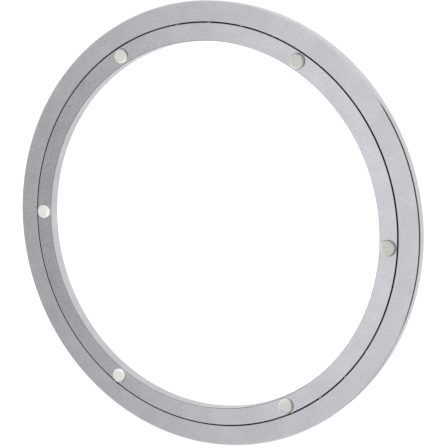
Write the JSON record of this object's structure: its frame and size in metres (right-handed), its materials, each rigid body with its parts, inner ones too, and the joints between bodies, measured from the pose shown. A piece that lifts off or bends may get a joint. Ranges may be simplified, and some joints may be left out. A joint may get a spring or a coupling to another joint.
{
  "type": "turntable ring bearing",
  "caption": "Thin, flat ring bearing for a turntable: two flush aluminium rings turn on a caged ring of balls, with soft round bumpers on both sides.",
  "frame": {"origin": "on the rings' axis, in the plane that the foot bumpers stand on", "axes": "+Z along the axis, out of the face with the inner ring's bumpers; +X through face_bumper_1"},
  "size_m": [0.3, 0.3, 0.012],
  "materials": {
    "ring_aluminium": "satin anodised",
    "bumper_silicone": "milky, translucent, matt",
    "ball_steel": "polished",
    "cage_nylon": "moulded nylon",
    "plug_aluminium": "turned",
    "pin_steel": "ground"
  },
  "bodies": {
    "base": {"outer_ring": "ring_aluminium", "fill_plug": "plug_aluminium", "plug_pin": "pin_steel", "foot_bumper_1": "bumper_silicone", "foot_bumper_2": "bumper_silicone", "foot_bumper_3": "bumper_silicone", "foot_bumper_4": "bumper_silicone", "foot_bumper_5": "bumper_silicone", "foot_bumper_6": "bumper_silicone"},
    "turntable": {"inner_ring": "ring_aluminium", "face_bumper_1": "bumper_silicone", "face_bumper_2": "bumper_silicone", "face_bumper_3": "bumper_silicone", "face_bumper_4": "bumper_silicone", "face_bumper_5": "bumper_silicone", "face_bumper_6": "bumper_silicone"},
    "ball_cage": {"ball_cage": "cage_nylon"},
    "ball_01": {"ball_01": "ball_steel"},
    "ball_02": {"ball_02": "ball_steel"},
    "ball_03": {"ball_03": "ball_steel"},
    "ball_04": {"ball_04": "ball_steel"},
    "ball_05": {"ball_05": "ball_steel"},
    "ball_06": {"ball_06": "ball_steel"},
    "ball_07": {"ball_07": "ball_steel"},
    "ball_08": {"ball_08": "ball_steel"},
    "ball_09": {"ball_09": "ball_steel"},
    "ball_10": {"ball_10": "ball_steel"},
    "ball_11": {"ball_11": "ball_steel"},
    "ball_12": {"ball_12": "ball_steel"},
    "ball_13": {"ball_13": "ball_steel"},
    "ball_14": {"ball_14": "ball_steel"},
    "ball_15": {"ball_15": "ball_steel"},
    "ball_16": {"ball_16": "ball_steel"},
    "ball_17": {"ball_17": "ball_steel"},
    "ball_18": {"ball_18": "ball_steel"},
    "ball_19": {"ball_19": "ball_steel"},
    "ball_20": {"ball_20": "ball_steel"},
    "ball_21": {"ball_21": "ball_steel"},
    "ball_22": {"ball_22": "ball_steel"},
    "ball_23": {"ball_23": "ball_steel"},
    "ball_24": {"ball_24": "ball_steel"},
    "ball_25": {"ball_25": "ball_steel"},
    "ball_26": {"ball_26": "ball_steel"},
    "ball_27": {"ball_27": "ball_steel"},
    "ball_28": {"ball_28": "ball_steel"},
    "ball_29": {"ball_29": "ball_steel"},
    "ball_30": {"ball_30": "ball_steel"},
    "ball_31": {"ball_31": "ball_steel"},
    "ball_32": {"ball_32": "ball_steel"},
    "ball_33": {"ball_33": "ball_steel"},
    "ball_34": {"ball_34": "ball_steel"},
    "ball_35": {"ball_35": "ball_steel"},
    "ball_36": {"ball_36": "ball_steel"}
  },
  "joints": [
    {"name": "turntable_turn", "type": "hinge", "parent": "base", "child": "turntable", "pos_m": [0, 0, 0.006], "axis": [0, 0, 1], "continuous": true},
    {"name": "cage_turn", "type": "hinge", "parent": "base", "child": "ball_cage", "pos_m": [0, 0, 0.006], "axis": [0, 0, 1], "continuous": true},
    {"name": "ball_01_roll", "type": "hinge", "parent": "ball_cage", "child": "ball_01", "pos_m": [0.136, 0, 0.006], "axis": [0.7071, 0, 0.7071], "continuous": true},
    {"name": "ball_02_roll", "type": "hinge", "parent": "ball_cage", "child": "ball_02", "pos_m": [0.13393, 0.02362, 0.006], "axis": [0.6964, 0.1228, 0.7071], "continuous": true},
    {"name": "ball_03_roll", "type": "hinge", "parent": "ball_cage", "child": "ball_03", "pos_m": [0.1278, 0.04651, 0.006], "axis": [0.6645, 0.2418, 0.7071], "continuous": true},
    {"name": "ball_04_roll", "type": "hinge", "parent": "ball_cage", "child": "ball_04", "pos_m": [0.11778, 0.068, 0.006], "axis": [0.6124, 0.3536, 0.7071], "continuous": true},
    {"name": "ball_05_roll", "type": "hinge", "parent": "ball_cage", "child": "ball_05", "pos_m": [0.10418, 0.08742, 0.006], "axis": [0.5417, 0.4545, 0.7071], "continuous": true},
    {"name": "ball_06_roll", "type": "hinge", "parent": "ball_cage", "child": "ball_06", "pos_m": [0.08742, 0.10418, 0.006], "axis": [0.4545, 0.5417, 0.7071], "continuous": true},
    {"name": "ball_07_roll", "type": "hinge", "parent": "ball_cage", "child": "ball_07", "pos_m": [0.068, 0.11778, 0.006], "axis": [0.3536, 0.6124, 0.7071], "continuous": true},
    {"name": "ball_08_roll", "type": "hinge", "parent": "ball_cage", "child": "ball_08", "pos_m": [0.04651, 0.1278, 0.006], "axis": [0.2418, 0.6645, 0.7071], "continuous": true},
    {"name": "ball_09_roll", "type": "hinge", "parent": "ball_cage", "child": "ball_09", "pos_m": [0.02362, 0.13393, 0.006], "axis": [0.1228, 0.6964, 0.7071], "continuous": true},
    {"name": "ball_10_roll", "type": "hinge", "parent": "ball_cage", "child": "ball_10", "pos_m": [0, 0.136, 0.006], "axis": [0, 0.7071, 0.7071], "continuous": true},
    {"name": "ball_11_roll", "type": "hinge", "parent": "ball_cage", "child": "ball_11", "pos_m": [-0.02362, 0.13393, 0.006], "axis": [-0.1228, 0.6964, 0.7071], "continuous": true},
    {"name": "ball_12_roll", "type": "hinge", "parent": "ball_cage", "child": "ball_12", "pos_m": [-0.04651, 0.1278, 0.006], "axis": [-0.2418, 0.6645, 0.7071], "continuous": true},
    {"name": "ball_13_roll", "type": "hinge", "parent": "ball_cage", "child": "ball_13", "pos_m": [-0.068, 0.11778, 0.006], "axis": [-0.3536, 0.6124, 0.7071], "continuous": true},
    {"name": "ball_14_roll", "type": "hinge", "parent": "ball_cage", "child": "ball_14", "pos_m": [-0.08742, 0.10418, 0.006], "axis": [-0.4545, 0.5417, 0.7071], "continuous": true},
    {"name": "ball_15_roll", "type": "hinge", "parent": "ball_cage", "child": "ball_15", "pos_m": [-0.10418, 0.08742, 0.006], "axis": [-0.5417, 0.4545, 0.7071], "continuous": true},
    {"name": "ball_16_roll", "type": "hinge", "parent": "ball_cage", "child": "ball_16", "pos_m": [-0.11778, 0.068, 0.006], "axis": [-0.6124, 0.3536, 0.7071], "continuous": true},
    {"name": "ball_17_roll", "type": "hinge", "parent": "ball_cage", "child": "ball_17", "pos_m": [-0.1278, 0.04651, 0.006], "axis": [-0.6645, 0.2418, 0.7071], "continuous": true},
    {"name": "ball_18_roll", "type": "hinge", "parent": "ball_cage", "child": "ball_18", "pos_m": [-0.13393, 0.02362, 0.006], "axis": [-0.6964, 0.1228, 0.7071], "continuous": true},
    {"name": "ball_19_roll", "type": "hinge", "parent": "ball_cage", "child": "ball_19", "pos_m": [-0.136, 0, 0.006], "axis": [-0.7071, 0, 0.7071], "continuous": true},
    {"name": "ball_20_roll", "type": "hinge", "parent": "ball_cage", "child": "ball_20", "pos_m": [-0.13393, -0.02362, 0.006], "axis": [-0.6964, -0.1228, 0.7071], "continuous": true},
    {"name": "ball_21_roll", "type": "hinge", "parent": "ball_cage", "child": "ball_21", "pos_m": [-0.1278, -0.04651, 0.006], "axis": [-0.6645, -0.2418, 0.7071], "continuous": true},
    {"name": "ball_22_roll", "type": "hinge", "parent": "ball_cage", "child": "ball_22", "pos_m": [-0.11778, -0.068, 0.006], "axis": [-0.6124, -0.3536, 0.7071], "continuous": true},
    {"name": "ball_23_roll", "type": "hinge", "parent": "ball_cage", "child": "ball_23", "pos_m": [-0.10418, -0.08742, 0.006], "axis": [-0.5417, -0.4545, 0.7071], "continuous": true},
    {"name": "ball_24_roll", "type": "hinge", "parent": "ball_cage", "child": "ball_24", "pos_m": [-0.08742, -0.10418, 0.006], "axis": [-0.4545, -0.5417, 0.7071], "continuous": true},
    {"name": "ball_25_roll", "type": "hinge", "parent": "ball_cage", "child": "ball_25", "pos_m": [-0.068, -0.11778, 0.006], "axis": [-0.3536, -0.6124, 0.7071], "continuous": true},
    {"name": "ball_26_roll", "type": "hinge", "parent": "ball_cage", "child": "ball_26", "pos_m": [-0.04651, -0.1278, 0.006], "axis": [-0.2418, -0.6645, 0.7071], "continuous": true},
    {"name": "ball_27_roll", "type": "hinge", "parent": "ball_cage", "child": "ball_27", "pos_m": [-0.02362, -0.13393, 0.006], "axis": [-0.1228, -0.6964, 0.7071], "continuous": true},
    {"name": "ball_28_roll", "type": "hinge", "parent": "ball_cage", "child": "ball_28", "pos_m": [0, -0.136, 0.006], "axis": [0, -0.7071, 0.7071], "continuous": true},
    {"name": "ball_29_roll", "type": "hinge", "parent": "ball_cage", "child": "ball_29", "pos_m": [0.02362, -0.13393, 0.006], "axis": [0.1228, -0.6964, 0.7071], "continuous": true},
    {"name": "ball_30_roll", "type": "hinge", "parent": "ball_cage", "child": "ball_30", "pos_m": [0.04651, -0.1278, 0.006], "axis": [0.2418, -0.6645, 0.7071], "continuous": true},
    {"name": "ball_31_roll", "type": "hinge", "parent": "ball_cage", "child": "ball_31", "pos_m": [0.068, -0.11778, 0.006], "axis": [0.3536, -0.6124, 0.7071], "continuous": true},
    {"name": "ball_32_roll", "type": "hinge", "parent": "ball_cage", "child": "ball_32", "pos_m": [0.08742, -0.10418, 0.006], "axis": [0.4545, -0.5417, 0.7071], "continuous": true},
    {"name": "ball_33_roll", "type": "hinge", "parent": "ball_cage", "child": "ball_33", "pos_m": [0.10418, -0.08742, 0.006], "axis": [0.5417, -0.4545, 0.7071], "continuous": true},
    {"name": "ball_34_roll", "type": "hinge", "parent": "ball_cage", "child": "ball_34", "pos_m": [0.11778, -0.068, 0.006], "axis": [0.6124, -0.3536, 0.7071], "continuous": true},
    {"name": "ball_35_roll", "type": "hinge", "parent": "ball_cage", "child": "ball_35", "pos_m": [0.1278, -0.04651, 0.006], "axis": [0.6645, -0.2418, 0.7071], "continuous": true},
    {"name": "ball_36_roll", "type": "hinge", "parent": "ball_cage", "child": "ball_36", "pos_m": [0.13393, -0.02362, 0.006], "axis": [0.6964, -0.1228, 0.7071], "continuous": true}
  ],
  "couplings": [
    {"joint": "cage_turn", "follows": "turntable_turn", "ratio": 0.4948},
    {"joint": "ball_01_roll", "follows": "turntable_turn", "ratio": -33.996},
    {"joint": "ball_02_roll", "follows": "turntable_turn", "ratio": -33.996},
    {"joint": "ball_03_roll", "follows": "turntable_turn", "ratio": -33.996},
    {"joint": "ball_04_roll", "follows": "turntable_turn", "ratio": -33.996},
    {"joint": "ball_05_roll", "follows": "turntable_turn", "ratio": -33.996},
    {"joint": "ball_06_roll", "follows": "turntable_turn", "ratio": -33.996},
    {"joint": "ball_07_roll", "follows": "turntable_turn", "ratio": -33.996},
    {"joint": "ball_08_roll", "follows": "turntable_turn", "ratio": -33.996},
    {"joint": "ball_09_roll", "follows": "turntable_turn", "ratio": -33.996},
    {"joint": "ball_10_roll", "follows": "turntable_turn", "ratio": -33.996},
    {"joint": "ball_11_roll", "follows": "turntable_turn", "ratio": -33.996},
    {"joint": "ball_12_roll", "follows": "turntable_turn", "ratio": -33.996},
    {"joint": "ball_13_roll", "follows": "turntable_turn", "ratio": -33.996},
    {"joint": "ball_14_roll", "follows": "turntable_turn", "ratio": -33.996},
    {"joint": "ball_15_roll", "follows": "turntable_turn", "ratio": -33.996},
    {"joint": "ball_16_roll", "follows": "turntable_turn", "ratio": -33.996},
    {"joint": "ball_17_roll", "follows": "turntable_turn", "ratio": -33.996},
    {"joint": "ball_18_roll", "follows": "turntable_turn", "ratio": -33.996},
    {"joint": "ball_19_roll", "follows": "turntable_turn", "ratio": -33.996},
    {"joint": "ball_20_roll", "follows": "turntable_turn", "ratio": -33.996},
    {"joint": "ball_21_roll", "follows": "turntable_turn", "ratio": -33.996},
    {"joint": "ball_22_roll", "follows": "turntable_turn", "ratio": -33.996},
    {"joint": "ball_23_roll", "follows": "turntable_turn", "ratio": -33.996},
    {"joint": "ball_24_roll", "follows": "turntable_turn", "ratio": -33.996},
    {"joint": "ball_25_roll", "follows": "turntable_turn", "ratio": -33.996},
    {"joint": "ball_26_roll", "follows": "turntable_turn", "ratio": -33.996},
    {"joint": "ball_27_roll", "follows": "turntable_turn", "ratio": -33.996},
    {"joint": "ball_28_roll", "follows": "turntable_turn", "ratio": -33.996},
    {"joint": "ball_29_roll", "follows": "turntable_turn", "ratio": -33.996},
    {"joint": "ball_30_roll", "follows": "turntable_turn", "ratio": -33.996},
    {"joint": "ball_31_roll", "follows": "turntable_turn", "ratio": -33.996},
    {"joint": "ball_32_roll", "follows": "turntable_turn", "ratio": -33.996},
    {"joint": "ball_33_roll", "follows": "turntable_turn", "ratio": -33.996},
    {"joint": "ball_34_roll", "follows": "turntable_turn", "ratio": -33.996},
    {"joint": "ball_35_roll", "follows": "turntable_turn", "ratio": -33.996},
    {"joint": "ball_36_roll", "follows": "turntable_turn", "ratio": -33.996}
  ]
}
